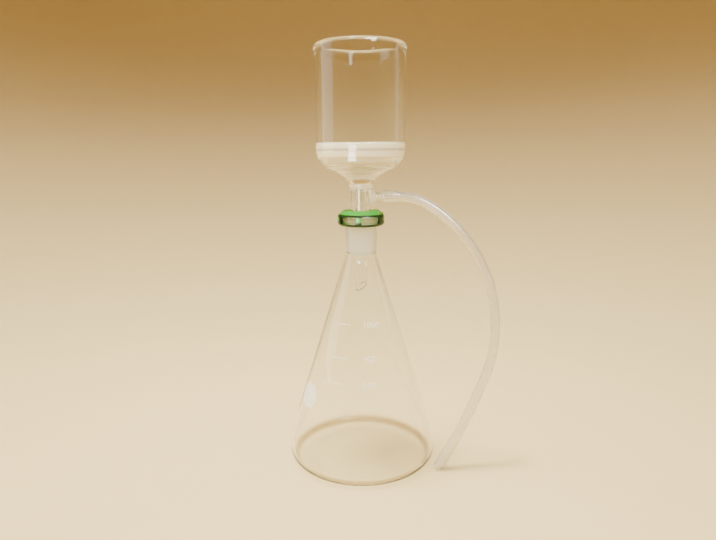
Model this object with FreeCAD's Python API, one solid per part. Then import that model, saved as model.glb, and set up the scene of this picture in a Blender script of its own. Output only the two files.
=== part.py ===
import FreeCAD, Part
import math
import os

# Vacuum filtration unit: a sintered-disc funnel with a vacuum side arm, standing by its
# size 24 ground joint in a one-litre conical flask, held by a plastic joint clip, with a
# short length of vacuum hose on the side arm.  Millimetres.  The origin is the middle of
# the flask's foot, on the bench; +Z is up, +X is towards the side arm, -Y is the front.

# ---- conical flask ----
FLASK_R = 65.5            # greatest outside radius
FLASK_CORNER = 11.0       # rounding of the foot
FLASK_SHOULDER_Z = 21.5   # where the upright wall meets the cone
FLASK_WALL = 2.2          # glass of the side
FLASK_FLOOR = 3.0         # glass of the bottom
HEEL_INSIDE_ROUND = 8.6   # rounding inside the foot
PUSH_UP = 3.2             # rise of the bottom in the middle
FOOT_RING_R = 52.5        # inner edge of the ring it stands on
NECK_R = 13.6             # outside radius of the neck
NECK_Z = 186.5            # where the cone meets the neck
MOUTH_Z = 219.2           # top of the mouth
LIP_R = 15.4              # beaded lip
LIP_HEIGHT = 4.3

# ---- ground joint, size 24/29, taper 1 in 10 on the diameter ----
JOINT_LARGE_R = 12.0
JOINT_LENGTH = 29.0
JOINT_SLOPE = 0.05        # radius lost for each millimetre down
JOINT_CLEARANCE = 0.05    # running fit of the cone in the socket

# ---- filter funnel ----
CUP_R = 37.6
CUP_WALL = 6.6            # thick glass
RIM_R = 38.3
RIM_Z = 360.4
RIM_HEIGHT = 4.4
RIM_BLEND = 4.0           # from the beaded rim down to the plain side
RIM_INSIDE_ROUND = 2.5
BOWL_CORNER_Z = 266.5     # where the cup's side and the bowl's slope would meet
BOWL_ROUND = 17.0
BOWL_INSIDE_ROUND = 12.0
THROAT_R = 14.3           # where the slope turns down into the throat
THROAT_Z = 253.8
COLLAR_R = 9.9            # ring seal between bowl, stem and jacket
COLLAR_Z = 246.4
JACKET_R = 9.0
JACKET_BORE_R = 7.4
STEM_R = 5.25
STEM_BORE_R = 3.75
STEM_TIP_Z = 155.0
STEM_CUT_ANGLE = 35.0     # slope of the drip tip
STEM_CUT_BEARING = 30.0   # the tip's point, turned from the left towards the front
DISC_TOP_Z = 281.0
DISC_THICKNESS = 9.8

# ---- side arm, about a level axis ----
ARM_Z = 237.4
ARM_ROOT_R = 7.3
ARM_NECK_R = 3.0
ARM_WALL = 1.1
HOSE_START_X = 17.5
ARM_END_X = 30.5
BARB_R = 3.7
BARB_RISE = 0.4           # length of each barb's steep side
BARB_LAND = 1.0           # level ring on each barb that the hose grips
BARB_PITCH = 4.0
BARB_COUNT = 3

# ---- joint clip ----
CLIP_BOTTOM_Z = 212.4
CLIP_TOP_Z = 225.6
CLIP_R = 20.2
CLIP_TOP_R = 15.2
CLIP_WALL = 1.9
CLIP_LOWER_BORE_R = 14.1
CLIP_UPPER_BORE_R = 10.6
CLIP_FLANGE = 2.0
CLIP_OPENING = 104.0      # degrees left open at the back
CLIP_RIB_HALF = 6.0       # degrees, half of the front rib
CLIP_WINDOW_END = 56.0    # degrees from the front rib's middle to the windows' far ends
CLIP_TURN = -6.0          # the clip sits turned by this much about the joint
CLIP_WINDOW_Z = (214.6, 220.9)
CLIP_WINDOW_ROUND = 1.6

# ---- vacuum hose ----
HOSE_R = 4.2
HOSE_BORE_R = 3.0
SLEEVE_R = 5.0            # where the hose is stretched over the barbs
SLEEVE_END_X = 31.5
HOSE_ROUTE = [
    (17.5, 0.0, 237.4),
    (33.0, 0.0, 237.4),
    (49.5, -2.6, 234.4),
    (68.0, -5.2, 223.6),
    (87.0, -8.4, 205.8),
    (102.3, -11.3, 182.5),
    (112.8, -14.3, 156.0),
    (115.8, -17.2, 126.5),
    (112.6, -20.6, 97.0),
    (100.8, -23.8, 68.0),
    (87.0, -27.2, 38.0),
    (76.6, -29.3, 19.5),
    (66.2, -31.0, 2.3),
]
ARC_SHARE = 0.45          # share of the shorter run that each arc of the hose takes

VERTICAL = FreeCAD.Vector(0, 0, 1)
ORIGIN = FreeCAD.Vector(0, 0, 0)


def corner_arc(before, corner, after, radius):
    """The arc of that radius tangent to both runs at a corner."""
    to_before = (before - corner).normalize()
    to_after = (after - corner).normalize()
    half_opening = to_before.getAngle(to_after) / 2
    reach = radius / math.tan(half_opening)
    toward_middle = (to_before + to_after).normalize()
    centre = corner + toward_middle * (radius / math.sin(half_opening))
    return Part.Arc(corner + to_before * reach, centre - toward_middle * radius, corner + to_after * reach)


def section(outline):
    """A closed face in the XZ plane from (radius, height, rounding) corners."""
    corners = [FreeCAD.Vector(r, 0, z) for r, z, _ in outline]
    arcs = {}
    count = len(corners)
    for i, (_, _, rounding) in enumerate(outline):
        if rounding > 0:
            arcs[i] = corner_arc(corners[i - 1], corners[i], corners[(i + 1) % count], rounding)
    edges = []
    for i in range(count):
        following = (i + 1) % count
        start = arcs[i].toShape().lastVertex().Point if i in arcs else corners[i]
        end = arcs[following].toShape().firstVertex().Point if following in arcs else corners[following]
        if i in arcs:
            edges.append(arcs[i].toShape())
        edges.append(Part.LineSegment(start, end).toShape())
    return Part.Face(Part.Wire(edges))


def turned(outline, degrees=360.0):
    """A solid turned about the upright axis."""
    return section(outline).revolve(ORIGIN, VERTICAL, degrees)


def turned_level(profile, height):
    """A solid turned about a level axis along +X, from (distance, radius) points."""
    points = [FreeCAD.Vector(x, 0, height + r) for x, r in profile]
    points.append(FreeCAD.Vector(profile[-1][0], 0, height))
    points.append(FreeCAD.Vector(profile[0][0], 0, height))
    points.append(points[0])
    face = Part.Face(Part.makePolygon(points))
    return face.revolve(FreeCAD.Vector(0, 0, height), FreeCAD.Vector(1, 0, 0), 360)


def joint_radius(height):
    """Inside radius of the flask's ground socket at a height."""
    return JOINT_LARGE_R - JOINT_SLOPE * (MOUTH_Z - height)


def receiving_flask():
    joint_foot = MOUTH_Z - JOINT_LENGTH
    inner_r = FLASK_R - FLASK_WALL
    floor_z = PUSH_UP + FLASK_FLOOR
    clear_bore = NECK_R - FLASK_WALL
    return turned([
        (0, PUSH_UP, 0),
        (FOOT_RING_R - 17, PUSH_UP - 1, 80),
        (FOOT_RING_R, 0, 14),
        (FLASK_R, 0, FLASK_CORNER),
        (FLASK_R, FLASK_SHOULDER_Z, 50),
        (NECK_R, NECK_Z, 22),
        (NECK_R + 0.1, MOUTH_Z - LIP_HEIGHT, 0.8),
        (LIP_R, MOUTH_Z - LIP_HEIGHT, 1.6),
        (LIP_R, MOUTH_Z, 1.8),
        (JOINT_LARGE_R, MOUTH_Z, 0.4),
        (joint_radius(joint_foot), joint_foot, 0.3),
        (clear_bore, joint_foot - 2, 1.0),
        (clear_bore, NECK_Z - 0.6, 20),
        (inner_r, FLASK_SHOULDER_Z - 0.4, 48),
        (inner_r, FLASK_FLOOR, HEEL_INSIDE_ROUND),
        (FOOT_RING_R - 2, FLASK_FLOOR, 14),
        (FOOT_RING_R - 19, floor_z - 1, 80),
        (0, floor_z, 0),
    ])


def cup_inside():
    """The inner outline of cup, bowl, throat and stem bore, from the tip up to the rim."""
    cup_r = CUP_R - CUP_WALL
    return [
        (STEM_BORE_R, STEM_TIP_Z, 0.3),
        (STEM_BORE_R, 243.6, 4),
        (THROAT_R - 2.5, THROAT_Z + 3.0, 6),
        (cup_r, BOWL_CORNER_Z + 2.8, BOWL_INSIDE_ROUND),
        (cup_r, RIM_Z, RIM_INSIDE_ROUND),
    ]


def glass_body():
    """Cup, bowl, ring seal, jacket, ground cone and drip stem: one piece of glass."""
    cone_top_z = MOUTH_Z + 1.2
    cone_foot_z = MOUTH_Z - JOINT_LENGTH
    cone_top_r = joint_radius(cone_top_z) - JOINT_CLEARANCE
    cone_foot_r = joint_radius(cone_foot_z) - JOINT_CLEARANCE
    seal_z = COLLAR_Z - 3.9
    outside = [
        (RIM_R, RIM_Z, 2.5),
        (RIM_R, RIM_Z - RIM_HEIGHT, 3),
        (CUP_R, RIM_Z - RIM_HEIGHT - RIM_BLEND, 6),
        (CUP_R, BOWL_CORNER_Z, BOWL_ROUND),
        (THROAT_R, THROAT_Z, 5),
        (COLLAR_R, COLLAR_Z + 1.2, 2),
        (COLLAR_R, COLLAR_Z - 1.2, 1),
        (JACKET_R, COLLAR_Z - 2.6, 1),
        (JACKET_R, cone_top_z + 3.0, 1.4),
        (cone_top_r, cone_top_z, 1.0),
        (cone_foot_r, cone_foot_z, 0.6),
        (cone_foot_r - 0.2, cone_foot_z - 2.6, 0.7),
        (cone_foot_r - 2.0, cone_foot_z - 2.6, 0.7),
        (cone_top_r - 2.5, cone_top_z - 3.0, 4),
        (JACKET_BORE_R, cone_top_z + 2.6, 4),
        (JACKET_BORE_R, seal_z, 1),
        (STEM_R, seal_z, 1),
        (STEM_R, STEM_TIP_Z, 0.4),
    ]
    return turned(outside + cup_inside())


def drip_tip_cutter():
    """A wedge that leaves the stem's lower end cut on the slant, its point at the front left."""
    reach = 2 * STEM_R
    slope = math.tan(math.radians(STEM_CUT_ANGLE))
    below = STEM_TIP_Z - reach
    corner = FreeCAD.Vector(-reach, -reach, below)
    wedge = Part.Face(Part.makePolygon([
        corner,
        FreeCAD.Vector(reach, -reach, below),
        FreeCAD.Vector(reach, -reach, STEM_TIP_Z + slope * (reach + STEM_R)),
        FreeCAD.Vector(-reach, -reach, STEM_TIP_Z - slope * (reach - STEM_R)),
        corner,
    ])).extrude(FreeCAD.Vector(0, 2 * reach, 0))
    wedge.rotate(ORIGIN, VERTICAL, STEM_CUT_BEARING)
    return wedge


def side_arm():
    """The flared arm with its hose barbs, and the passage through it."""
    flare = [
        (JACKET_BORE_R - 1.2, ARM_ROOT_R),
        (JACKET_R - 1.0, ARM_ROOT_R),
        (JACKET_R + 0.8, ARM_ROOT_R - 1.4),
        (JACKET_R + 2.8, ARM_ROOT_R - 2.7),
        (JACKET_R + 5.2, ARM_NECK_R + 0.7),
        (HOSE_START_X - 0.8, ARM_NECK_R),
    ]
    outer = list(flare)
    barb_x = ARM_END_X - BARB_COUNT * BARB_PITCH
    outer.append((barb_x, ARM_NECK_R))
    for i in range(BARB_COUNT):
        start = barb_x + i * BARB_PITCH
        outer.append((start + BARB_RISE, BARB_R))
        outer.append((start + BARB_RISE + BARB_LAND, BARB_R))
        outer.append((start + BARB_PITCH, ARM_NECK_R - 0.2))
    inner = [(x, r - ARM_WALL) for x, r in flare]
    inner.append((ARM_END_X + 1, ARM_NECK_R - ARM_WALL))
    return turned_level(outer, ARM_Z), turned_level(inner, ARM_Z)


def filter_funnel():
    arm, passage = side_arm()
    jacket_space = Part.makeCylinder(JACKET_BORE_R, 30, FreeCAD.Vector(0, 0, ARM_Z - 15))
    body = glass_body().fuse(arm.cut(jacket_space)).cut(passage)
    return body.cut(drip_tip_cutter())


def fritted_disc():
    """The sintered disc fills the cup from wall to wall."""
    cavity = turned(cup_inside() + [(0, RIM_Z, 0), (0, STEM_TIP_Z, 0)])
    slab = Part.makeCylinder(CUP_R, DISC_THICKNESS, FreeCAD.Vector(0, 0, DISC_TOP_Z - DISC_THICKNESS))
    return cavity.common(slab)


def window(first, last):
    """A piece to cut one window out of the clip's wall, between two bearings from the front."""
    low, high = CLIP_WINDOW_Z
    slice_face = section([
        (CLIP_LOWER_BORE_R + 1.2, low, 0),
        (CLIP_R + 2, low, 0),
        (CLIP_R + 2, high, 0),
        (CLIP_LOWER_BORE_R + 1.2, high, 0),
    ])
    piece = slice_face.revolve(ORIGIN, VERTICAL, last - first)
    ends = []
    for edge in piece.Edges:
        level = abs(edge.Vertexes[0].Z - edge.Vertexes[-1].Z) < 0.001
        if level and edge.Curve.TypeId == "Part::GeomLine":
            ends.append(edge)
    piece = piece.makeFillet(CLIP_WINDOW_ROUND, ends)
    piece.rotate(ORIGIN, VERTICAL, first - 90)
    return piece


def joint_clip():
    ring_outline = [
        (CLIP_LOWER_BORE_R, CLIP_BOTTOM_Z, 0.5),
        (CLIP_R, CLIP_BOTTOM_Z, 3.2),
        (CLIP_R, CLIP_BOTTOM_Z + 8.7, 3.5),
        (CLIP_TOP_R, CLIP_TOP_Z, 1.0),
        (CLIP_UPPER_BORE_R, CLIP_TOP_Z, 0.5),
        (CLIP_UPPER_BORE_R, CLIP_TOP_Z - CLIP_FLANGE, 0.5),
        (CLIP_TOP_R - 1.2, CLIP_TOP_Z - CLIP_FLANGE, 0),
        (CLIP_R - CLIP_WALL, CLIP_BOTTOM_Z + 7.5, 2.5),
        (CLIP_R - CLIP_WALL, CLIP_BOTTOM_Z + CLIP_FLANGE, 1.6),
        (CLIP_LOWER_BORE_R, CLIP_BOTTOM_Z + CLIP_FLANGE, 0.5),
    ]
    ring = section(ring_outline).revolve(ORIGIN, VERTICAL, 360 - CLIP_OPENING)
    ring.rotate(ORIGIN, VERTICAL, 90 + CLIP_OPENING / 2)
    for side in (-1, 1):
        ends = sorted((side * CLIP_RIB_HALF, side * CLIP_WINDOW_END))
        ring = ring.cut(window(*ends))
    height = CLIP_TOP_Z - CLIP_BOTTOM_Z - 3.2
    for side in (-1, 1):
        lug = Part.makeBox(4.2, 2.0, height, FreeCAD.Vector(CLIP_R - 1.6, -1.0, CLIP_BOTTOM_Z))
        lug = lug.makeFillet(0.8, lug.Edges)
        lug.rotate(FreeCAD.Vector(CLIP_R - 1.0, 0, 0), VERTICAL, side * 20)
        lug.rotate(ORIGIN, VERTICAL, 90 - side * (CLIP_OPENING / 2 + 3.4))
        ring = ring.fuse(lug)
    ring.rotate(ORIGIN, VERTICAL, CLIP_TURN)
    return ring


def rounded_route(points):
    """Straight runs joined by tangent arcs, each arc as large as its two runs allow."""
    corners = [FreeCAD.Vector(*p) for p in points]
    edges = []
    start = corners[0]
    for before, corner, after in zip(corners, corners[1:], corners[2:]):
        turn = math.pi - (before - corner).getAngle(after - corner)
        reach = ARC_SHARE * min((before - corner).Length, (after - corner).Length)
        radius = reach / math.tan(turn / 2)
        arc = corner_arc(before, corner, after, radius).toShape()
        edges.append(Part.LineSegment(start, arc.firstVertex().Point).toShape())
        edges.append(arc)
        start = arc.lastVertex().Point
        print("hose arc radius %.1f mm, turn %.1f degrees" % (radius, math.degrees(turn)))
    edges.append(Part.LineSegment(start, corners[-1]).toShape())
    return Part.Wire(edges)


def swept(wire, radius):
    """A round bar along a route that starts along +X."""
    circle = Part.Circle(wire.Vertexes[0].Point, FreeCAD.Vector(1, 0, 0), radius)
    bar = wire.makePipeShell([Part.Wire(circle.toShape())], True, False)
    expected = math.pi * radius ** 2 * wire.Length
    print("hose bar radius %.1f: volume %.1f mm3, section x length %.1f mm3" % (radius, bar.Volume, expected))
    return bar


def vacuum_hose():
    wire = rounded_route(HOSE_ROUTE)
    print("hose length %.1f mm" % wire.Length)
    sleeve = turned_level([
        (HOSE_START_X, SLEEVE_R - 0.4),
        (HOSE_START_X + 0.5, SLEEVE_R),
        (SLEEVE_END_X - 2.0, SLEEVE_R),
        (SLEEVE_END_X, HOSE_R),
    ], ARM_Z)
    bore = turned_level([
        (HOSE_START_X - 1, BARB_R),
        (ARM_END_X + 0.3, BARB_R),
        (ARM_END_X + 1.3, HOSE_BORE_R),
    ], ARM_Z)
    return swept(wire, HOSE_R).fuse(sleeve).cut(swept(wire, HOSE_BORE_R)).cut(bore)


def single_solid(shape):
    """The one solid of a result, refined."""
    solids = shape.removeSplitter().Solids
    if len(solids) != 1:
        raise ValueError("expected one solid, got %d" % len(solids))
    return solids[0]


def main():
    os.makedirs("parts", exist_ok=True)
    for make in (receiving_flask, filter_funnel, fritted_disc, joint_clip, vacuum_hose):
        solid = single_solid(make())
        box = solid.BoundBox
        print("%-16s valid %s, volume %.0f mm3, x %.2f..%.2f y %.2f..%.2f z %.2f..%.2f" % (
            make.__name__, solid.isValid(), solid.Volume,
            box.XMin, box.XMax, box.YMin, box.YMax, box.ZMin, box.ZMax))
        solid.exportStep("parts/%s.step" % make.__name__)


main()
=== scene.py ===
import math

import bmesh
import bpy
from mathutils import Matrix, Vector


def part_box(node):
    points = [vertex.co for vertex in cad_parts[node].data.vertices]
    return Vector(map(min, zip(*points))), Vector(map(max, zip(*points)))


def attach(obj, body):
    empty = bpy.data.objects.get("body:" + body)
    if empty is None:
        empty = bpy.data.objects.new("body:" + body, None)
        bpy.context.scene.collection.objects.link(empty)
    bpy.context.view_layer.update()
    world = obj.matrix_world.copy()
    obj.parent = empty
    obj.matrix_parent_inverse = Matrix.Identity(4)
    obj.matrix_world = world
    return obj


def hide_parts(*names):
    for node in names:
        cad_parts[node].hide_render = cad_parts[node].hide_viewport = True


# A sintered-glass funnel with a vacuum side arm and hose, held by a plastic clip in the
# ground neck of a one-litre conical flask.  Metres.  The origin is the middle of the
# flask's foot; +Z is up, +X is towards the side arm, -Y is the front.

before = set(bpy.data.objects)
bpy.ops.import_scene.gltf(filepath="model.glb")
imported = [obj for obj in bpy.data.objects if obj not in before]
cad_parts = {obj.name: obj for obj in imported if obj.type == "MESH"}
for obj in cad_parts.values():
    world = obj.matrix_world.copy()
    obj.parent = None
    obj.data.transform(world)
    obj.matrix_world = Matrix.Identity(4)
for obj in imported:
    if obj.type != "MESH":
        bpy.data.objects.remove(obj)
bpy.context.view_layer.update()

# ---- sizes read from the frame ----
FLASK_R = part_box("receiving_flask")[1][0]
MOUTH_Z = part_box("receiving_flask")[1][2]
RIM_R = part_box("filter_funnel")[1][0]
RIM_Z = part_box("filter_funnel")[1][2]
STEM_TIP_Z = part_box("filter_funnel")[0][2]
CUP_INNER_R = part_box("fritted_disc")[1][0]
DISC_LOW_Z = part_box("fritted_disc")[0][2]
DISC_TOP_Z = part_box("fritted_disc")[1][2]

# ---- conical flask ----
FLASK_CORNER = 0.011         # rounding of the foot
SHOULDER_Z = 0.0215          # where the upright wall meets the cone
FLASK_WALL = 0.0022
FLASK_FLOOR = 0.003
HEEL_INSIDE_ROUND = 0.0086   # rounding inside the foot
PUSH_UP = 0.0032             # rise of the bottom in the middle
FOOT_RING_R = 0.0525
NECK_R = 0.0136
NECK_Z = 0.1865
LIP_R = 0.0154
LIP_HEIGHT = 0.0043

# ---- ground joint ----
JOINT_LARGE_R = 0.012
JOINT_LENGTH = 0.029
JOINT_SLOPE = 0.05
JOINT_CLEARANCE = 0.00005
CONE_STANDS_OUT = 0.0012     # cone above the flask's mouth
CONE_TIP = 0.0026            # cone below the ground socket

# ---- filter funnel ----
CUP_R = 0.0376
RIM_HEIGHT = 0.0044
RIM_BLEND = 0.004            # from the beaded rim down to the plain side
RIM_INSIDE_ROUND = 0.0025
BOWL_CORNER_Z = 0.2665
BOWL_ROUND = 0.017
BOWL_INSIDE_ROUND = 0.012
THROAT_R = 0.0143
THROAT_Z = 0.2538
COLLAR_R = 0.0099
COLLAR_Z = 0.2464
JACKET_R = 0.009
JACKET_BORE_R = 0.0074
STEM_R = 0.00525
STEM_BORE_R = 0.00375
STEM_BORE_TOP_Z = 0.2436
STEM_CUT_ANGLE = math.radians(35)
STEM_CUT_BEARING = math.radians(30)

# ---- side arm ----
ARM_Z = 0.2374
ARM_ROOT_R = 0.0073
ARM_NECK_R = 0.003
ARM_WALL = 0.0011
ARM_END_X = 0.0305
BARB_R = 0.0037
BARB_RISE = 0.0004
BARB_LAND = 0.001
BARB_PITCH = 0.004
BARB_COUNT = 3

# ---- joint clip ----
CLIP_R = 0.0202
CLIP_WINDOW_HIGH_Z = 0.2209

# ---- vacuum hose ----
HOSE_START = (0.0175, 0.0, ARM_Z)
HOSE_R = 0.0042
HOSE_BORE_R = 0.003
SLEEVE_R = 0.005
SLEEVE_LENGTH = 0.014        # hose stretched over the barbs
SLEEVE_ROUND = (0.005, 0.0013)   # length and depth of its rounded edge
SLEEVE_FADE = (0.004, 0.003)     # shrinking to the plain hose, before and after its end
BARB_MARK = 0.00012          # how far the barbs show through the hose
HOSE_ROUTE = [
    HOSE_START,
    (0.033, 0.0, 0.2374),
    (0.0495, -0.0026, 0.2344),
    (0.068, -0.0052, 0.2236),
    (0.087, -0.0084, 0.2058),
    (0.1023, -0.0113, 0.1825),
    (0.1128, -0.0143, 0.156),
    (0.1158, -0.0172, 0.1265),
    (0.1126, -0.0206, 0.097),
    (0.1008, -0.0238, 0.068),
    (0.087, -0.0272, 0.038),
    (0.0766, -0.0293, 0.0195),
    (0.0662, -0.031, 0.0023),
]

# ---- markings on the flask ----
GRADUATIONS = ((0.0842, "800"), (0.1045, "900"), (0.1315, "1000"))   # height, millilitres
DASH_TURNS = (-38.0, -20.0)   # degrees round from the front, the left being negative
NUMBER_TURN = 1.0             # where the numbers start
NUMBER_HEIGHT = 0.0072
LINE_HEIGHT = 0.0007
SPOT_TURN = -66.0             # rough white patch to write on
SPOT_Z = 0.0665
SPOT_WIDTH = 0.026
SPOT_HEIGHT = 0.0205
SPOT_SQUARENESS = 2.6         # 2 is an oval, more is squarer
PRINT_THICKNESS = 0.00004

# ---- mesh fineness ----
LATHE_STEPS = 224
ARM_STEPS = 72
HOSE_STEPS = 48
PRINT_STEPS = 24
SPOT_ROWS = 12                # on each side of the middle
ARC_STEP = math.radians(7)
CREASE = math.radians(32)
ON_AXIS = 1e-9                # a smaller radius counts as none

# ---- camera and light ----
VIEW_PLACE = (-0.0022, -0.5068, 0.2733)
VIEW_PITCH = math.radians(78.81)
VIEW_ROLL = math.radians(0.4)
VIEW_LENS = 29.67
SENSOR_WIDTH = 36.0
LAMP_COLOR = (1.0, 0.985, 0.95)
ROOM_COLOR = (0.60, 0.46, 0.24, 1.0)
ROOM_STRENGTH = 0.42
LIGHT_BOUNCES = 28            # enough for light caught inside the thick rim


# ======================================================================= shaders

class Socket:
    """One output of a finish's nodes, used in plain arithmetic."""

    def __init__(self, finish, socket):
        self.finish = finish
        self.socket = socket

    def maths(self, operation, first, second=0.0):
        return self.finish.node("ShaderNodeMath", {"operation": operation}, {0: first, 1: second})

    def __add__(self, other):
        return self.maths("ADD", self, other)

    def __radd__(self, other):
        return self.maths("ADD", other, self)

    def __sub__(self, other):
        return self.maths("SUBTRACT", self, other)

    def __rsub__(self, other):
        return self.maths("SUBTRACT", other, self)

    def __mul__(self, other):
        return self.maths("MULTIPLY", self, other)

    def __rmul__(self, other):
        return self.maths("MULTIPLY", other, self)

    def root(self):
        return self.maths("SQRT", self)

    def size(self):
        return self.maths("ABSOLUTE", self)

    def rising(self, low, high):
        """0 below low, 1 above high, smooth between."""
        return self.finish.node("ShaderNodeMapRange", {"interpolation_type": "SMOOTHSTEP"}, {
            "Value": self, "From Min": low, "From Max": high})

    def band(self, low, high, edge):
        """1 between low and high, fading to 0 over an edge outside them."""
        return self.rising(low - edge, low) * (1.0 - self.rising(high, high + edge))


MIX_FIRST, MIX_SECOND, MIX_RESULT = 6, 7, 2   # colour sockets of a Mix node


class Finish:
    """A material and the nodes that make it."""

    def __init__(self, name):
        self.material = bpy.data.materials.new(name)
        self.material.use_nodes = True
        self.tree = self.material.node_tree
        self.tree.nodes.clear()

    def node(self, kind, settings, inputs, output=0):
        made = self.tree.nodes.new(kind)
        for key, value in settings.items():
            setattr(made, key, value)
        for key, value in inputs.items():
            if isinstance(value, Socket):
                self.tree.links.new(value.socket, made.inputs[key])
            else:
                made.inputs[key].default_value = value
        return Socket(self, made.outputs[output])

    def place(self):
        """Position on the piece, as (x, y, z) sockets."""
        spot = self.node("ShaderNodeTexCoord", {}, {}, "Object")
        return [self.node("ShaderNodeSeparateXYZ", {}, {"Vector": spot}, axis) for axis in range(3)]

    def noise(self, scale, detail, roughness):
        spot = self.node("ShaderNodeTexCoord", {}, {}, "Object")
        return self.node("ShaderNodeTexNoise", {}, {
            "Vector": spot, "Scale": scale, "Detail": detail, "Roughness": roughness})

    def between(self, share, low, high):
        """A colour mixed from two colours."""
        first, second = (c if isinstance(c, Socket) else (*c, 1.0) for c in (low, high))
        return self.node("ShaderNodeMix", {"data_type": "RGBA"}, {
            "Factor": share, MIX_FIRST: first, MIX_SECOND: second}, MIX_RESULT)

    def bump(self, height, distance, strength=1.0):
        return self.node("ShaderNodeBump", {}, {
            "Height": height, "Distance": distance, "Strength": strength})

    def principled(self, **inputs):
        named = {key.replace("_", " ").title(): value for key, value in inputs.items()}
        for key in ("Ior", "Specular Ior Level"):
            if key in named:
                named[key.replace("Ior", "IOR")] = named.pop(key)
        if isinstance(named["Base Color"], tuple):
            named["Base Color"] = (*named["Base Color"], 1.0)
        return self.node("ShaderNodeBsdfPrincipled", {}, named)

    def blend(self, share, first, second):
        return self.node("ShaderNodeMixShader", {}, {0: share, 1: first, 2: second})

    def surface(self, shader):
        end = self.tree.nodes.new("ShaderNodeOutputMaterial")
        self.tree.links.new(shader.socket, end.inputs["Surface"])
        return self.material


GLASS_IOR = 1.473
GLASS_TINT = (0.985, 0.995, 0.99)
# painted shade: the floor glass is tinted a little darker for the shade inside the flask's foot
FLOOR_PAINTED_SHADE_TINT = (0.95, 0.93, 0.88)
# painted shade: a brown tint in the thick heel for the dark edge that thick glass shows
HEEL_PAINTED_SHADE_TINT = (0.42, 0.34, 0.19)
LIP_PAINTED_CLIP_REFLECTION = (0.70, 0.88, 0.42)         # painted reflection of the green clip round it
# painted shade: a darker ochre laid in stripes on the funnel's bowl
BOWL_PAINTED_SHADE_TINT = (0.8, 0.73, 0.54)
FROST_TINT = (0.96, 0.93, 0.80)
FROST_GLOW = (0.98, 0.95, 0.82, 1.0)
GROUND_ROUGHNESS = 0.28
GROUND_HAZE = 0.5
THIN_SHADE = (0.975, 0.975, 0.965, 1.0)
HEEL_SHADE = (0.9, 0.89, 0.86, 1.0)
HOSE_SHADE = (0.62, 0.61, 0.57, 1.0)
# painted shade on the clip's frames and ends
CLIP_PAINTED_SHADE = (0.001, 0.02, 0.001)

# ---- where a finish gives way to the next, as (from, to) or the width of the change ----
FLOOR_SHADE_FADE_Z = (0.007, 0.013)
HEEL_FADE_Z = (0.004, 0.009)
HEEL_FADE_R = (0.0565, 0.0615)
GROUND_EDGE = 0.0004
ZONE_EDGE = 0.001


def shadowed(finish, shader, shade):
    """Lets light that is bound for another surface straight through, dimmed by a shade."""
    from_lamp = finish.node("ShaderNodeLightPath", {}, {}, "Is Shadow Ray")
    from_surface = finish.node("ShaderNodeLightPath", {}, {}, "Is Diffuse Ray")
    return finish.surface(finish.blend(from_lamp + from_surface, shader, shade))


def passing(finish, shade):
    return finish.node("ShaderNodeBsdfTransparent", {}, {"Color": shade})


def glass(finish, tint, roughness, height, haze):
    """Borosilicate glass with its tint, roughness, surface height and share of white haze."""
    clear = finish.principled(
        base_color=tint, roughness=roughness, ior=GLASS_IOR, transmission_weight=1.0,
        normal=finish.bump(height, 1.0))
    frost = finish.blend(
        0.5,
        finish.principled(base_color=FROST_TINT, roughness=0.7, ior=GLASS_IOR),
        finish.node("ShaderNodeBsdfTranslucent", {}, {"Color": FROST_GLOW}))
    return finish.blend(haze, clear, frost)


def ground_grain(finish, ground):
    """The height of the fine grain that grinding leaves."""
    return finish.noise(2600.0, 3.0, 0.6) * ground * 0.00004


def flask_finish():
    """Clear, with painted shade in the thick heel and on the floor, a ground socket, and a painted
    reflection of the green clip on the lip.
    """
    finish = Finish("flask glass")
    x, y, z = finish.place()
    radius = (x * x + y * y).root()
    # painted shade: a darker tint on the floor glass below this height
    foot = 1.0 - z.rising(*FLOOR_SHADE_FADE_Z)
    # painted shade: the heel's brown tint stands in for the dark edge of thick glass; the same zone is
    # rougher and dims light passing to the floor
    painted_heel_shade = (1.0 - z.rising(*HEEL_FADE_Z)) * radius.rising(*HEEL_FADE_R)
    joint_wall = 1.0 - radius.rising(JOINT_LARGE_R + 0.0002, JOINT_LARGE_R + 0.0005)
    ground = joint_wall * z.band(MOUTH_Z - JOINT_LENGTH, MOUTH_Z - GROUND_EDGE, GROUND_EDGE)
    # painted reflection: the lip is tinted green and hazed a little white for the clip seen in the glass
    lip = z.rising(MOUTH_Z - LIP_HEIGHT - 0.0006, MOUTH_Z - LIP_HEIGHT)
    body = finish.between(foot, GLASS_TINT, FLOOR_PAINTED_SHADE_TINT)
    shader = glass(
        finish,
        tint=finish.between(lip, finish.between(painted_heel_shade, body, HEEL_PAINTED_SHADE_TINT), LIP_PAINTED_CLIP_REFLECTION),
        roughness=ground * GROUND_ROUGHNESS + painted_heel_shade * 0.08,
        height=ground_grain(finish, ground),
        haze=ground * GROUND_HAZE + lip * 0.2)
    shade = finish.blend(painted_heel_shade, passing(finish, THIN_SHADE), passing(finish, HEEL_SHADE))
    return shadowed(finish, shader, shade)


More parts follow.
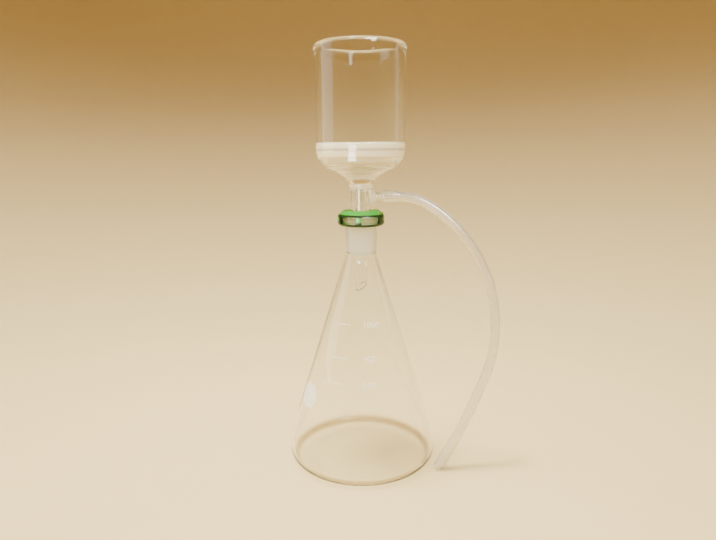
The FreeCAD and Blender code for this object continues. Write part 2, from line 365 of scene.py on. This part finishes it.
def funnel_finish():
    """Clear, with a ground cone, rippled where it was worked in the flame, with painted darker and paler
    stripes in the bowl and a painted white highlight at the seal and the arm's flare.
    """
    finish = Finish("funnel glass")
    x, y, z = finish.place()
    radius = (x * x + y * y).root()
    cone_surface = JOINT_LARGE_R - JOINT_SLOPE * MOUTH_Z
    # only the outer skin of the cone is ground, and not its bore
    outside = (radius - z * JOINT_SLOPE).rising(cone_surface - 0.0011, cone_surface - 0.0006)
    ground = outside * z.band(MOUTH_Z - JOINT_LENGTH - CONE_TIP, MOUTH_Z + 0.0006, GROUND_EDGE)
    worked = z.band(COLLAR_Z - 0.001, DISC_TOP_Z, ZONE_EDGE)
    bowl = z.band(COLLAR_Z - 0.001, DISC_LOW_Z - 0.001, ZONE_EDGE)
    rim = z.rising(RIM_Z - 0.0055, RIM_Z - 0.0035)
    # painted highlight: white haze at the collar's seal and round the side arm's flare stands in for bright
    # glints
    seal_painted_highlight = z.band(COLLAR_Z - 0.0022, COLLAR_Z + 0.0008, ZONE_EDGE)
    flare_reach = x.band(JACKET_R - 0.001, JACKET_R + 0.003, 0.002)
    flare_painted_highlight = flare_reach * z.band(ARM_Z - 0.0075, ARM_Z + 0.0075, ZONE_EDGE)
    swirl = finish.node("ShaderNodeTexNoise", {"noise_dimensions": "1D"}, {
        "W": z, "Scale": 210.0, "Detail": 1.0})
    shader = glass(
        finish,
        # painted shade and light: the bowl's tint and haze follow the swirl in darker and paler stripes
        tint=finish.between(bowl * (1.0 - swirl.rising(0.4, 0.55)) * 0.8, GLASS_TINT, BOWL_PAINTED_SHADE_TINT),
        roughness=ground * GROUND_ROUGHNESS + worked * 0.1 + rim * 0.06,
        height=ground_grain(finish, ground) + swirl * worked * 0.001,
        haze=ground * GROUND_HAZE + bowl * swirl.rising(0.45, 0.6) * 0.28 + (seal_painted_highlight + flare_painted_highlight) * 0.42)
    return shadowed(finish, shader, passing(finish, THIN_SHADE))


def sintered_finish():
    """Sintered grains, lighter towards the top, with a darker band round the middle."""
    finish = Finish("sintered glass")
    z = finish.place()[2]
    darker_middle = 1.0 - (z - (DISC_LOW_Z + DISC_TOP_Z) / 2).size().rising(0.0006, 0.0016)
    grains = finish.noise(2400.0, 4.0, 0.7)
    lighter_upward = finish.between(z.rising(DISC_LOW_Z, DISC_TOP_Z), (0.90, 0.81, 0.56), (0.95, 0.87, 0.64))
    return finish.surface(finish.principled(
        base_color=finish.between(darker_middle * 0.85, lighter_upward, (0.58, 0.49, 0.30)),
        roughness=0.9,
        subsurface_weight=0.5,
        subsurface_radius=(0.003, 0.0027, 0.002),
        subsurface_scale=1.0,
        normal=finish.bump(grains, 0.0002, 0.6)))


def clip_finish():
    """Green plastic, with painted shade on the outer faces of the frames round the windows and on the ends.
    """
    finish = Finish("green plastic")
    x, y, z = finish.place()
    flow = finish.noise(220.0, 3.0, 0.55)
    # painted shade: the outer faces above and below the windows and at the ends are darkened where light
    # from above does not fall
    outside = (x * x + y * y).root().rising(CLIP_R - 0.0036, CLIP_R - 0.0026)
    above = z.band(CLIP_WINDOW_HIGH_Z - 0.0002, CLIP_WINDOW_HIGH_Z + 0.0014, 0.0005)
    below = 1.0 - z.rising(CLIP_WINDOW_HIGH_Z - 0.0046, CLIP_WINDOW_HIGH_Z - 0.0034)
    under_top = 1.0 - z.rising(CLIP_WINDOW_HIGH_Z, CLIP_WINDOW_HIGH_Z + 0.0005)
    ends = x.size().band(0.0145, 0.0185, 0.0008) * under_top
    plain_green = finish.between(flow, (0.05, 0.40, 0.03), (0.08, 0.50, 0.05))
    return finish.surface(finish.principled(
        base_color=finish.between(outside * (above + below + ends) * 0.97, plain_green, CLIP_PAINTED_SHADE),
        roughness=flow * 0.1 + 0.24,
        specular_ior_level=0.2,
        coat_weight=0.1,
        coat_roughness=0.1,
        normal=finish.bump(flow, 0.00008, 0.5)))


def hose_finish():
    finish = Finish("milky hose")
    clouds = finish.noise(180.0, 3.0, 0.5)
    normal = finish.bump(clouds, 0.00012, 0.4)
    clear = finish.principled(
        base_color=(0.97, 0.945, 0.88), roughness=clouds * 0.1 + 0.12, ior=1.41,
        transmission_weight=1.0, normal=normal)
    milk = finish.principled(
        base_color=finish.between(clouds, (0.93, 0.89, 0.78), (0.97, 0.95, 0.87)),
        roughness=0.4, ior=1.41, normal=normal)
    return shadowed(finish, finish.blend(clouds * 0.08 + 0.07, clear, milk), passing(finish, HOSE_SHADE))


def enamel_finish():
    """White print fired on the glass, a little worn."""
    finish = Finish("white enamel")
    wear = finish.noise(900.0, 3.0, 0.6)
    return finish.surface(finish.principled(
        base_color=(0.9, 0.9, 0.87), roughness=wear * 0.25 + 0.4, alpha=wear.rising(0.2, 0.7) * 0.5 + 0.3))


def backdrop_finish():
    finish = Finish("paper backdrop")
    fibres = finish.noise(35.0, 5.0, 0.6)
    return finish.surface(finish.principled(
        base_color=finish.between(fibres, (0.76, 0.57, 0.24), (0.79, 0.60, 0.26)),
        roughness=0.75,
        normal=finish.bump(fibres, 0.0006, 0.15)))


# ======================================================================= meshes

def corner_points(before, corner, after, radius):
    """Points along the arc of that radius tangent to both runs at a corner."""
    to_before = (before - corner).normalized()
    to_after = (after - corner).normalized()
    half_opening = to_before.angle(to_after) / 2
    centre = corner + (to_before + to_after).normalized() * (radius / math.sin(half_opening))
    start = corner + to_before * (radius / math.tan(half_opening)) - centre
    end = corner + to_after * (radius / math.tan(half_opening)) - centre
    sweep = start.angle_signed(end)
    steps = max(2, math.ceil(abs(sweep) / ARC_STEP))
    points = []
    for i in range(steps + 1):
        turn = -sweep * i / steps
        points.append(centre + Vector((
            start.x * math.cos(turn) - start.y * math.sin(turn),
            start.x * math.sin(turn) + start.y * math.cos(turn))))
    return points


def rounded(outline):
    """The points of a closed outline given as (radius, height, rounding) corners."""
    corners = [Vector((r, z)) for r, z, _ in outline]
    points = []
    for i, (_, _, rounding) in enumerate(outline):
        if rounding > 0:
            points += corner_points(corners[i - 1], corners[i], corners[(i + 1) % len(corners)], rounding)
        else:
            points.append(corners[i])
    return points


def new_piece(name, mesh, finish=None):
    piece = bpy.data.objects.new(name, mesh)
    bpy.context.scene.collection.objects.link(piece)
    if finish:
        mesh.materials.append(finish)
    return piece


def smooth(mesh):
    mesh.shade_smooth()
    mesh.set_sharp_from_angle(angle=CREASE)


def lathe(name, outline, steps=LATHE_STEPS):
    """A closed mesh turned about the upright axis; corners on the axis close it there."""
    points = rounded(outline)
    build = bmesh.new()
    rings = []
    for point in points:
        if point.x < ON_AXIS:
            rings.append([build.verts.new((0, 0, point.y))])
            continue
        ring = []
        for i in range(steps):
            turn = 2 * math.pi * i / steps
            ring.append(build.verts.new((point.x * math.cos(turn), point.x * math.sin(turn), point.y)))
        rings.append(ring)
    for here, there in zip(rings, rings[1:] + rings[:1]):
        if len(here) == 1 and len(there) == 1:
            continue
        for i in range(steps):
            j = (i + 1) % steps
            near = [here[i % len(here)], here[j % len(here)]]
            far = [there[j % len(there)], there[i % len(there)]]
            build.faces.new(list(dict.fromkeys(near + far)))
    bmesh.ops.recalc_face_normals(build, faces=build.faces)
    mesh = bpy.data.meshes.new(name)
    build.to_mesh(mesh)
    build.free()
    smooth(mesh)
    return mesh


def laid_level(mesh, height):
    """A turned mesh laid over so that its axis runs along +X at a height."""
    for vertex in mesh.vertices:
        x, y, z = vertex.co
        vertex.co = (z, y, height - x)
    return mesh


def combined(base, tool, operation):
    """Base with the tool joined to it or cut from it; the tool is used up."""
    change = base.modifiers.new("change", "BOOLEAN")
    change.operation = operation
    change.solver = "EXACT"
    change.object = tool
    result = bpy.data.meshes.new_from_object(base.evaluated_get(bpy.context.evaluated_depsgraph_get()))
    base.modifiers.remove(change)
    base.data = result
    bpy.data.objects.remove(tool)
    smooth(result)


def joint_radius(height):
    return JOINT_LARGE_R - JOINT_SLOPE * (MOUTH_Z - height)


def flask_outline():
    joint_foot = MOUTH_Z - JOINT_LENGTH
    inner_r = FLASK_R - FLASK_WALL
    floor_z = PUSH_UP + FLASK_FLOOR
    clear_bore = NECK_R - FLASK_WALL
    return [
        (0, PUSH_UP, 0),
        (FOOT_RING_R - 0.017, PUSH_UP - 0.001, 0.08),
        (FOOT_RING_R, 0, 0.014),
        (FLASK_R, 0, FLASK_CORNER),
        (FLASK_R, SHOULDER_Z, 0.05),
        (NECK_R, NECK_Z, 0.022),
        (NECK_R + 0.0001, MOUTH_Z - LIP_HEIGHT, 0.0008),
        (LIP_R, MOUTH_Z - LIP_HEIGHT, 0.0016),
        (LIP_R, MOUTH_Z, 0.0018),
        (JOINT_LARGE_R, MOUTH_Z, 0.0004),
        (joint_radius(joint_foot), joint_foot, 0.0003),
        (clear_bore, joint_foot - 0.002, 0.001),
        (clear_bore, NECK_Z - 0.0006, 0.02),
        (inner_r, SHOULDER_Z - 0.0004, 0.048),
        (inner_r, FLASK_FLOOR, HEEL_INSIDE_ROUND),
        (FOOT_RING_R - 0.002, FLASK_FLOOR, 0.014),
        (FOOT_RING_R - 0.019, floor_z - 0.001, 0.08),
        (0, floor_z, 0),
    ]


def funnel_outline():
    cone_top_z = MOUTH_Z + CONE_STANDS_OUT
    cone_foot_z = MOUTH_Z - JOINT_LENGTH
    cone_top_r = joint_radius(cone_top_z) - JOINT_CLEARANCE
    cone_foot_r = joint_radius(cone_foot_z) - JOINT_CLEARANCE
    seal_z = COLLAR_Z - 0.0039
    return [
        (RIM_R, RIM_Z, 0.0025),
        (RIM_R, RIM_Z - RIM_HEIGHT, 0.003),
        (CUP_R, RIM_Z - RIM_HEIGHT - RIM_BLEND, 0.006),
        (CUP_R, BOWL_CORNER_Z, BOWL_ROUND),
        (THROAT_R, THROAT_Z, 0.005),
        (COLLAR_R, COLLAR_Z + 0.0012, 0.002),
        (COLLAR_R, COLLAR_Z - 0.0012, 0.001),
        (JACKET_R, COLLAR_Z - 0.0026, 0.001),
        (JACKET_R, cone_top_z + 0.003, 0.0014),
        (cone_top_r, cone_top_z, 0.001),
        (cone_foot_r, cone_foot_z, 0.0006),
        (cone_foot_r - 0.0002, cone_foot_z - CONE_TIP, 0.0007),
        (cone_foot_r - 0.002, cone_foot_z - CONE_TIP, 0.0007),
        (cone_top_r - 0.0025, cone_top_z - 0.003, 0.004),
        (JACKET_BORE_R, cone_top_z + 0.0026, 0.004),
        (JACKET_BORE_R, seal_z, 0.001),
        (STEM_R, seal_z, 0.001),
        (STEM_R, STEM_TIP_Z, 0.0004),
        (STEM_BORE_R, STEM_TIP_Z, 0.0003),
        (STEM_BORE_R, STEM_BORE_TOP_Z, 0.004),
        (THROAT_R - 0.0025, THROAT_Z + 0.003, 0.006),
        (CUP_INNER_R, BOWL_CORNER_Z + 0.0028, BOWL_INSIDE_ROUND),
        (CUP_INNER_R, RIM_Z, RIM_INSIDE_ROUND),
    ]


def arm_outline():
    """Radius against distance along the arm, from inside the jacket's wall to the last barb."""
    outline = [
        (0, 0.001, 0),
        (ARM_ROOT_R, 0.001, 0),
        (ARM_ROOT_R, JACKET_R - 0.001, 0.003),
        (ARM_NECK_R + 0.0002, JACKET_R + 0.0042, 0.006),
        (ARM_NECK_R, ARM_END_X - BARB_COUNT * BARB_PITCH, 0),
    ]
    for i in range(BARB_COUNT):
        start = ARM_END_X - (BARB_COUNT - i) * BARB_PITCH
        outline.append((BARB_R, start + BARB_RISE, 0.0002))
        outline.append((BARB_R, start + BARB_RISE + BARB_LAND, 0.0004))
        outline.append((ARM_NECK_R - 0.0002, start + BARB_PITCH, 0))
    return outline + [(0, ARM_END_X, 0)]


def passage_outline():
    return [
        (0, 0.0055, 0),
        (ARM_ROOT_R - ARM_WALL, 0.0055, 0),
        (ARM_ROOT_R - ARM_WALL, JACKET_R - 0.0012, 0.0025),
        (ARM_NECK_R + 0.0002 - ARM_WALL, JACKET_R + 0.004, 0.005),
        (ARM_NECK_R - ARM_WALL, ARM_END_X + 0.001, 0),
        (0, ARM_END_X + 0.001, 0),
    ]


def tip_wedge():
    """The wedge that is cut from the stem to slant its tip."""
    reach = 2 * STEM_R
    rise = math.tan(STEM_CUT_ANGLE)
    low = STEM_TIP_Z - reach
    side = [
        (-reach, low),
        (reach, low),
        (reach, STEM_TIP_Z + rise * (reach + STEM_R)),
        (-reach, STEM_TIP_Z - rise * (reach - STEM_R)),
    ]
    across, along = math.cos(STEM_CUT_BEARING), math.sin(STEM_CUT_BEARING)
    build = bmesh.new()
    rows = []
    for y in (-reach, reach):
        rows.append([build.verts.new((x * across - y * along, x * along + y * across, z)) for x, z in side])
    build.faces.new(rows[0])
    build.faces.new(rows[1])
    for i in range(4):
        j = (i + 1) % 4
        build.faces.new((rows[0][i], rows[0][j], rows[1][j], rows[1][i]))
    bmesh.ops.recalc_face_normals(build, faces=build.faces)
    mesh = bpy.data.meshes.new("tip wedge")
    build.to_mesh(mesh)
    build.free()
    return mesh


def make_flask():
    piece = new_piece("flask_glass", lathe("flask_glass", flask_outline()), flask_finish())
    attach(piece, "flask")
    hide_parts("receiving_flask")


def make_funnel():
    piece = new_piece("funnel_glass", lathe("funnel_glass", funnel_outline()))
    arm = new_piece("arm", laid_level(lathe("arm", arm_outline(), ARM_STEPS), ARM_Z))
    middle_of_wall = (JACKET_R + JACKET_BORE_R) / 2
    core = new_piece("core", lathe("core", [
        (0, ARM_Z - 0.015, 0),
        (middle_of_wall, ARM_Z - 0.015, 0),
        (middle_of_wall, ARM_Z + 0.015, 0),
        (0, ARM_Z + 0.015, 0),
    ]))
    combined(arm, core, "DIFFERENCE")
    combined(piece, arm, "UNION")
    passage = new_piece("passage", laid_level(lathe("passage", passage_outline(), ARM_STEPS), ARM_Z))
    combined(piece, passage, "DIFFERENCE")
    combined(piece, new_piece("tip", tip_wedge()), "DIFFERENCE")
    piece.data.materials.clear()
    piece.data.materials.append(funnel_finish())
    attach(piece, "funnel")
    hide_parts("filter_funnel")


def make_disc():
    """The disc's edge is melted a little way into the glass around it."""
    sunk = CUP_INNER_R + 0.0002
    piece = new_piece("sintered_disc", lathe("sintered_disc", [
        (0, DISC_LOW_Z, 0),
        (sunk, DISC_LOW_Z, 0.0012),
        (sunk, DISC_TOP_Z, 0.0004),
        (0, DISC_TOP_Z, 0),
    ]), sintered_finish())
    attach(piece, "funnel")
    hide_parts("fritted_disc")


def make_clip():
    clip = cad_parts["joint_clip"]
    clip.data.materials.clear()
    clip.data.materials.append(clip_finish())


def hose_path():
    """The hose's centre line, as points along a smooth spline."""
    curve = bpy.data.curves.new("hose route", "CURVE")
    curve.dimensions = "3D"
    curve.resolution_u = 24
    line = curve.splines.new("NURBS")
    line.points.add(len(HOSE_ROUTE) - 1)
    for point, place in zip(line.points, HOSE_ROUTE):
        point.co = (*place, 1.0)
    line.order_u = 3
    line.use_endpoint_u = True
    route = new_piece("hose route", curve)
    drawn = bpy.data.meshes.new_from_object(route)
    path = [vertex.co.copy() for vertex in drawn.vertices]
    bpy.data.objects.remove(route)
    return path


def eased(value, low, high):
    share = min(max((value - low) / (high - low), 0.0), 1.0)
    return share * share * (3 - 2 * share)


def hose_radii(distance):
    """Outer and inner radius of the hose at a distance from its start."""
    gripped = 1 - eased(distance, SLEEVE_LENGTH - SLEEVE_FADE[0], SLEEVE_LENGTH + SLEEVE_FADE[1])
    along_barbs = distance - (ARM_END_X - BARB_COUNT * BARB_PITCH - HOSE_START[0])
    mark = 0.0
    if 0 < along_barbs < BARB_COUNT * BARB_PITCH:
        mark = BARB_MARK * math.sin(2 * math.pi * along_barbs / BARB_PITCH + 0.6)
    round_length, round_depth = SLEEVE_ROUND
    to_round = max(1 - distance / round_length, 0.0)
    edge = round_depth * (1 - math.sqrt(1 - to_round * to_round))
    outer = HOSE_R + (SLEEVE_R - BARB_MARK - HOSE_R + mark) * gripped - edge
    inner = HOSE_BORE_R + 0.00005 + (BARB_R - HOSE_BORE_R) * gripped * eased(distance, 0.0, 0.001)
    return outer, inner


def make_hose():
    path = hose_path()
    build = bmesh.new()
    side = Vector((0, 1, 0))
    distance = 0.0
    outer_rings, inner_rings = [], []
    for i, spot in enumerate(path):
        ahead = (path[min(i + 1, len(path) - 1)] - path[max(i - 1, 0)]).normalized()
        side = (side - ahead * side.dot(ahead)).normalized()
        up = ahead.cross(side)
        if i:
            distance += (spot - path[i - 1]).length
        for rings, radius in zip((outer_rings, inner_rings), hose_radii(distance)):
            ring = []
            for j in range(HOSE_STEPS):
                turn = 2 * math.pi * j / HOSE_STEPS
                offset = side * math.cos(turn) + up * math.sin(turn)
                ring.append(build.verts.new(spot + offset * radius))
            rings.append(ring)
    loop = outer_rings + inner_rings[::-1]
    for here, there in zip(loop, loop[1:] + loop[:1]):
        for j in range(HOSE_STEPS):
            k = (j + 1) % HOSE_STEPS
            build.faces.new((here[j], here[k], there[k], there[j]))
    bmesh.ops.recalc_face_normals(build, faces=build.faces)
    mesh = bpy.data.meshes.new("vacuum_hose_tube")
    build.to_mesh(mesh)
    build.free()
    smooth(mesh)
    piece = new_piece("vacuum_hose_tube", mesh, hose_finish())
    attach(piece, "funnel")
    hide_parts("vacuum_hose")


def flask_radius(height):
    """Outside radius of the flask's cone at a height."""
    return FLASK_R + (NECK_R - FLASK_R) * (height - SHOULDER_Z) / (NECK_Z - SHOULDER_Z)


def wrapped(mesh, turn, low):
    """A flat mesh bent round the cone; its x runs along the arc and its y up the slope."""
    slope = math.atan((FLASK_R - NECK_R) / (NECK_Z - SHOULDER_Z))
    for vertex in mesh.vertices:
        along, up, _ = vertex.co
        height = low + up * math.cos(slope)
        reach = flask_radius(height) + PRINT_THICKNESS
        bearing = math.radians(turn - 90) + along / reach
        vertex.co = (reach * math.cos(bearing), reach * math.sin(bearing), height)


def print_mesh(name, outline_rows):
    """A flat grid from rows of (left, right, height)."""
    build = bmesh.new()
    rows = []
    for left, right, height in outline_rows:
        places = [left + (right - left) * i / PRINT_STEPS for i in range(PRINT_STEPS + 1)]
        rows.append([build.verts.new((place, height, 0)) for place in places])
    for here, there in zip(rows, rows[1:]):
        for i in range(PRINT_STEPS):
            build.faces.new((here[i], here[i + 1], there[i + 1], there[i]))
    mesh = bpy.data.meshes.new(name)
    build.to_mesh(mesh)
    build.free()
    return mesh


def number_mesh(name, figures):
    text = bpy.data.curves.new(name, "FONT")
    text.body = figures
    text.size = NUMBER_HEIGHT
    text.resolution_u = 3
    writing = new_piece(name, text)
    mesh = bpy.data.meshes.new_from_object(writing)
    bpy.data.objects.remove(writing)
    return mesh


def printed(name, mesh, turn, low, finish):
    wrapped(mesh, turn, low)
    smooth(mesh)
    piece = new_piece(name, mesh, finish)
    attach(piece, "flask")


def make_markings():
    enamel = enamel_finish()
    for height, figures in GRADUATIONS:
        first, last = (math.radians(turn) * flask_radius(height) for turn in DASH_TURNS)
        dash = print_mesh("dash", [(first, last, 0.0), (first, last, LINE_HEIGHT)])
        printed("dash_" + figures, dash, 0.0, height, enamel)
        number = number_mesh("number", figures)
        printed("number_" + figures, number, NUMBER_TURN, height - NUMBER_HEIGHT * 0.3, enamel)
    rows = []
    for i in range(-SPOT_ROWS, SPOT_ROWS + 1):
        share = 0.995 * i / SPOT_ROWS
        half = SPOT_WIDTH / 2 * (1 - abs(share) ** SPOT_SQUARENESS) ** (1 / SPOT_SQUARENESS)
        rows.append((-half, half, SPOT_HEIGHT / 2 * share))
    printed("writing_spot", print_mesh("writing_spot", rows), SPOT_TURN, SPOT_Z, enamel)


# ======================================================================= stage

def make_backdrop():
    """A round floor of paper that sweeps up into a wall on every side."""
    radius, height, bend, thickness = 1.7, 1.7, 1.35, 0.01
    paper = lathe("backdrop", [
        (0, -thickness, 0),
        (radius + thickness, -thickness, 0),
        (radius + thickness, height, 0),
        (radius, height, 0),
        (radius, 0, bend),
        (0, 0, 0),
    ])
    new_piece("backdrop", paper, backdrop_finish())


def soft_light(name, place, aim, size, watts,
               spread=180.0, mirrored=True, lighting=True, shape="RECTANGLE"):
    """A soft lamp. If mirrored it shows in reflections, and if lighting it lights matt surfaces."""
    lamp = bpy.data.lights.new(name, "AREA")
    lamp.shape = shape
    lamp.size, lamp.size_y = size
    lamp.energy = watts
    lamp.color = LAMP_COLOR
    lamp.spread = math.radians(spread)
    light = bpy.data.objects.new(name, lamp)
    light.location = place
    light.rotation_euler = (Vector(aim) - Vector(place)).to_track_quat("-Z", "Y").to_euler()
    light.visible_glossy = mirrored
    light.visible_transmission = False
    light.visible_diffuse = lighting
    bpy.context.scene.collection.objects.link(light)


def make_lights():
    soft_light(
        "overhead", place=(-0.12, 0.0, 1.25), aim=(-0.12, 0, 0), size=(1.6, 0.7),
        watts=16.4, spread=122.0, mirrored=False)
    soft_light(
        "overhead key", place=(-0.12, 0.02, 1.2), aim=(0, 0, 0), size=(0.16, 0.14),
        watts=7.0, spread=122.0)
    soft_light(
        "side left", place=(-0.8, 0.0, 0.5), aim=(0, 0, 0.3), size=(0.6, 0.8),
        watts=1.3, spread=90.0)
    soft_light(
        "front", place=(-0.1, -1.25, 1.0), aim=(0, 0, 0.2), size=(1.0, 0.8),
        watts=4.0, spread=60.0, mirrored=False)
    soft_light(
        "edge right", place=(0.8, 0.14, 0.36), aim=(0, 0, 0.3), size=(0.21, 0.36),
        watts=0.3, lighting=False)
    soft_light(
        "glint right", place=(0.36, -0.72, 0.82), aim=(0, 0, 0.3), size=(0.5, 0.12),
        watts=26.0, lighting=False)
    soft_light(
        "glint left", place=(-0.38, -0.72, 0.82), aim=(0, 0, 0.3), size=(0.32, 0.08),
        watts=9.0, lighting=False)
    soft_light(
        "glint near", place=(-0.047, -0.145, 0.256), aim=(-0.006, -0.037, 0.256),
        size=(0.045, 0.042), watts=0.3, lighting=False)
    soft_light(
        "glint under", place=(-0.035, -0.091, 0.221), aim=(-0.028, -0.0714, 0.3188),
        size=(0.028, 0.086), watts=0.34, lighting=False)
    soft_light(
        "glint high", place=(0.26, -0.42, 0.62), aim=(-0.005, 0.06, 0.005),
        size=(0.19, 0.57), watts=9.0, lighting=False, shape="ELLIPSE")


def make_room():
    """The dim warm light that comes from all sides."""
    world = bpy.data.worlds.new("room")
    world.use_nodes = True
    room = world.node_tree.nodes["Background"]
    room.inputs["Color"].default_value = ROOM_COLOR
    room.inputs["Strength"].default_value = ROOM_STRENGTH
    bpy.context.scene.world = world


def make_camera():
    lens = bpy.data.cameras.new("view")
    lens.sensor_width = SENSOR_WIDTH
    lens.lens = VIEW_LENS
    camera = bpy.data.objects.new("view", lens)
    camera.location = VIEW_PLACE
    camera.rotation_euler = (VIEW_PITCH, VIEW_ROLL, 0.0)
    bpy.context.scene.collection.objects.link(camera)
    bpy.context.scene.camera = camera


make_camera()
make_hose()
make_flask()
make_funnel()
make_disc()
make_clip()
make_markings()
make_backdrop()
make_lights()
make_room()
for bounces in ("max_bounces", "transmission_bounces", "glossy_bounces"):
    setattr(bpy.context.scene.cycles, bounces, LIGHT_BOUNCES)
